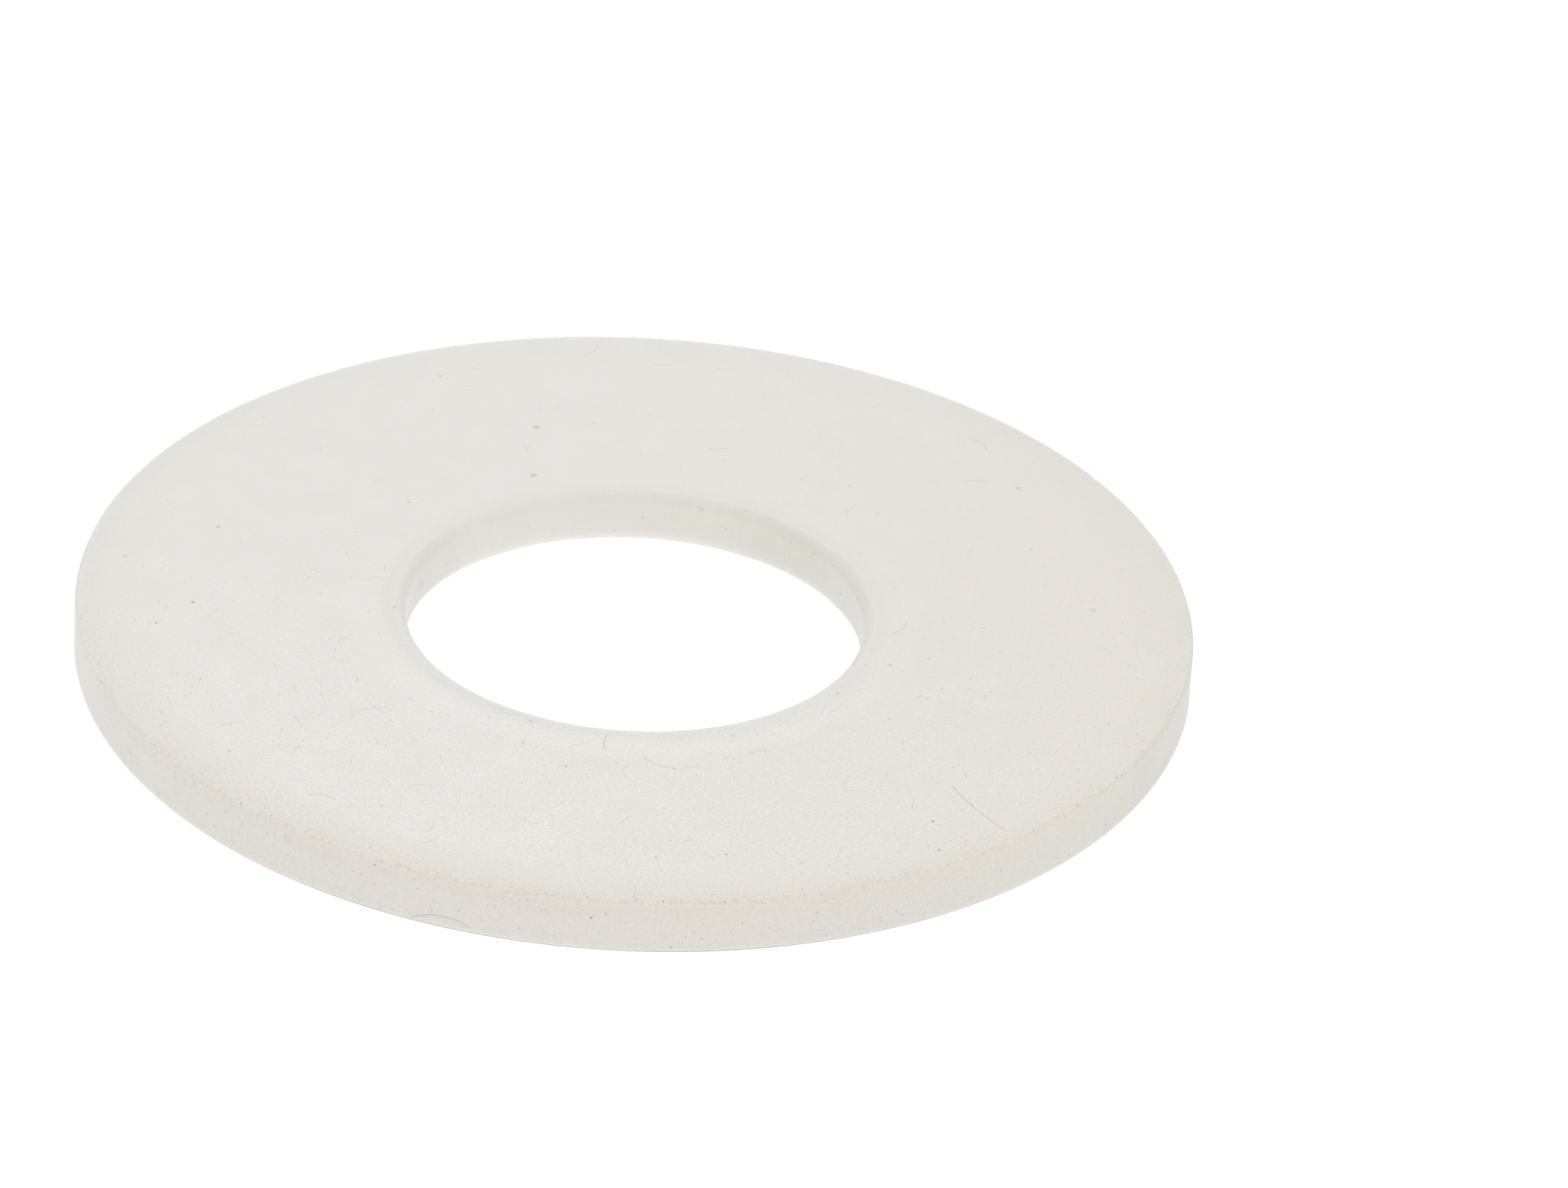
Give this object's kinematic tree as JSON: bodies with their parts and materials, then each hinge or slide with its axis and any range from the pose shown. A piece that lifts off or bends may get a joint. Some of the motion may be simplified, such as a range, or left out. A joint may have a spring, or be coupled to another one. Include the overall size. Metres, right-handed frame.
{
  "type": "flat washer",
  "caption": "Flat round sealing washer of milky translucent silicone rubber, with a plain central bore, straight rim and lightly rounded edges.",
  "frame": {"origin": "centre of the bore, on the underside of the washer", "axes": "+Z along the washer's axis, from the underside to the upper face; X and Y lie across the flat faces"},
  "size_m": [0.06, 0.06, 0.003],
  "materials": {
    "translucent_silicone": "milky translucent silicone rubber, matt, with a fine powdery grain"
  },
  "bodies": {
    "root": {"washer_ring": "translucent_silicone"}
  },
  "joints": []
}
